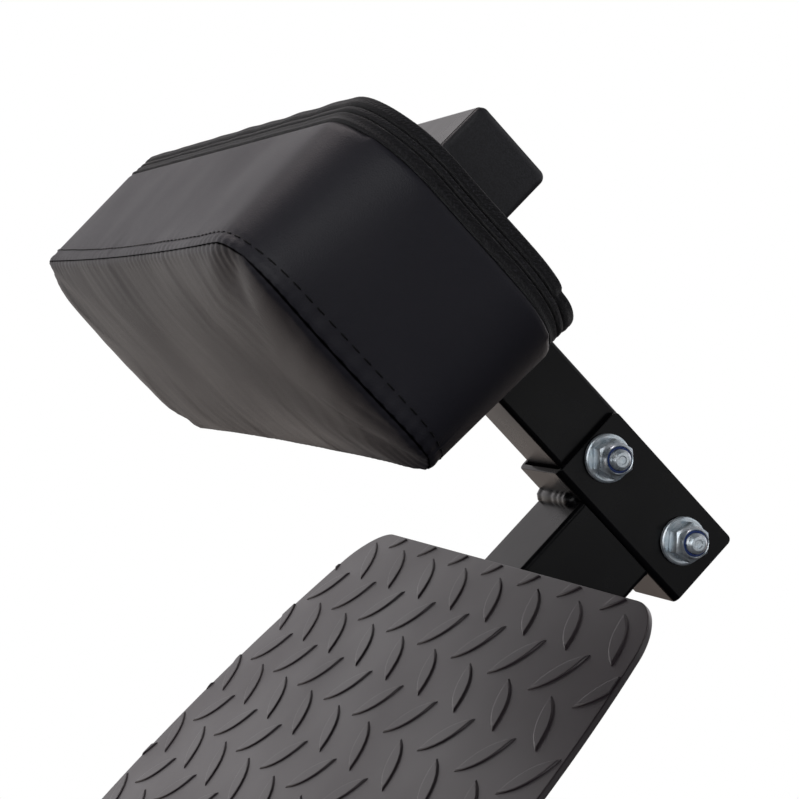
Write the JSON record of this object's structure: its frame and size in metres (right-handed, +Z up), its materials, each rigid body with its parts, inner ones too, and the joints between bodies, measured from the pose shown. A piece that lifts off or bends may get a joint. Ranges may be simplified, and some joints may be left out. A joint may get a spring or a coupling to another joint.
{
  "type": "hyperextension bench",
  "caption": "Angled hyperextension bench: block calf pad on a bolted post, tread foot plate, hip pads and handles on a sliding tube.",
  "frame": {"origin": "on the floor, under the middle of the bench's length and width", "axes": "+Z up, +X from the foot end towards the hip pads, +Y to the user's left"},
  "size_m": [1.0776, 0.5606, 0.8375],
  "materials": {
    "powder_coat": "black powder coat, semi-gloss",
    "tread_paint": "black paint over raised tread, semi-gloss",
    "vinyl": "black grained vinyl, soft sheen",
    "tape": "black woven zip tape",
    "plywood": "unfinished plywood",
    "plastic": "black moulded plastic",
    "rubber": "black rubber, matt",
    "zinc": "bright blue-white zinc plate",
    "spring_steel": "plain spring wire"
  },
  "bodies": {
    "frame": {"post_bracket": "powder_coat", "foot_rail": "powder_coat", "main_beam": "powder_coat", "floor_tube": "powder_coat", "rear_upright": "powder_coat", "front_upright": "powder_coat", "rear_cross_foot": "powder_coat", "front_cross_foot": "powder_coat", "foot_cap_front_left": "rubber", "foot_cap_front_right": "rubber", "foot_cap_rear_left": "rubber", "foot_cap_rear_right": "rubber", "foot_plate": "tread_paint", "foot_plate_gusset_left": "powder_coat", "foot_plate_gusset_right": "powder_coat", "calf_post": "powder_coat", "calf_cross_tube": "powder_coat", "calf_tube_cap_left": "plastic", "calf_tube_cap_right": "plastic", "calf_pad_board": "plywood", "calf_pad": "vinyl", "calf_pad_zip": "tape", "bracket_bolt_lower": "zinc", "bracket_bolt_upper": "zinc", "bracket_nut_lower": "zinc", "bracket_nut_upper": "zinc", "bracket_washer_left_lower": "zinc", "bracket_washer_left_upper": "zinc", "bracket_washer_right_lower": "zinc", "bracket_washer_right_upper": "zinc", "guide_bush": "plastic", "pin_housing": "zinc", "pin_spring": "spring_steel", "clamp_boss": "powder_coat", "wheel_fork_left": "powder_coat", "wheel_fork_right": "powder_coat", "wheel_axle_left": "zinc", "wheel_axle_right": "zinc"},
    "pad_carriage": {"slider_tube": "powder_coat", "slider_glide": "plastic", "slider_cap": "plastic", "pad_riser": "powder_coat", "pad_cross_tube": "powder_coat", "pad_plate_left": "powder_coat", "pad_plate_right": "powder_coat", "hip_pad_board_left": "plywood", "hip_pad_board_right": "plywood", "hip_pad_left": "vinyl", "hip_pad_right": "vinyl", "handle_left": "powder_coat", "handle_right": "powder_coat", "grip_left": "rubber", "grip_right": "rubber"},
    "spring_pin": {"pin_plunger": "zinc", "pin_knob": "plastic"},
    "clamp": {"clamp_screw": "zinc", "clamp_knob": "plastic"},
    "wheel_left": {"wheel_left": "rubber"},
    "wheel_right": {"wheel_right": "rubber"}
  },
  "joints": [
    {"name": "pad_slide", "type": "slide", "parent": "frame", "child": "pad_carriage", "axis": [0.7071, 0, 0.7071], "range_m": [-0.15, 0.1]},
    {"name": "pin_pull", "type": "slide", "parent": "frame", "child": "spring_pin", "axis": [0, 1, 0], "range_m": [-0.012, 0]},
    {"name": "clamp_turn", "type": "hinge", "parent": "frame", "child": "clamp", "pos_m": [0.30631, 0, 0.4055], "axis": [0, -1, 0], "range_deg": [-180, 180]},
    {"name": "wheel_left_spin", "type": "hinge", "parent": "frame", "child": "wheel_left", "pos_m": [-0.5108, 0.2, 0.034], "axis": [0, 1, 0], "continuous": true},
    {"name": "wheel_right_spin", "type": "hinge", "parent": "frame", "child": "wheel_right", "pos_m": [-0.5108, -0.2, 0.034], "axis": [0, 1, 0], "continuous": true}
  ]
}
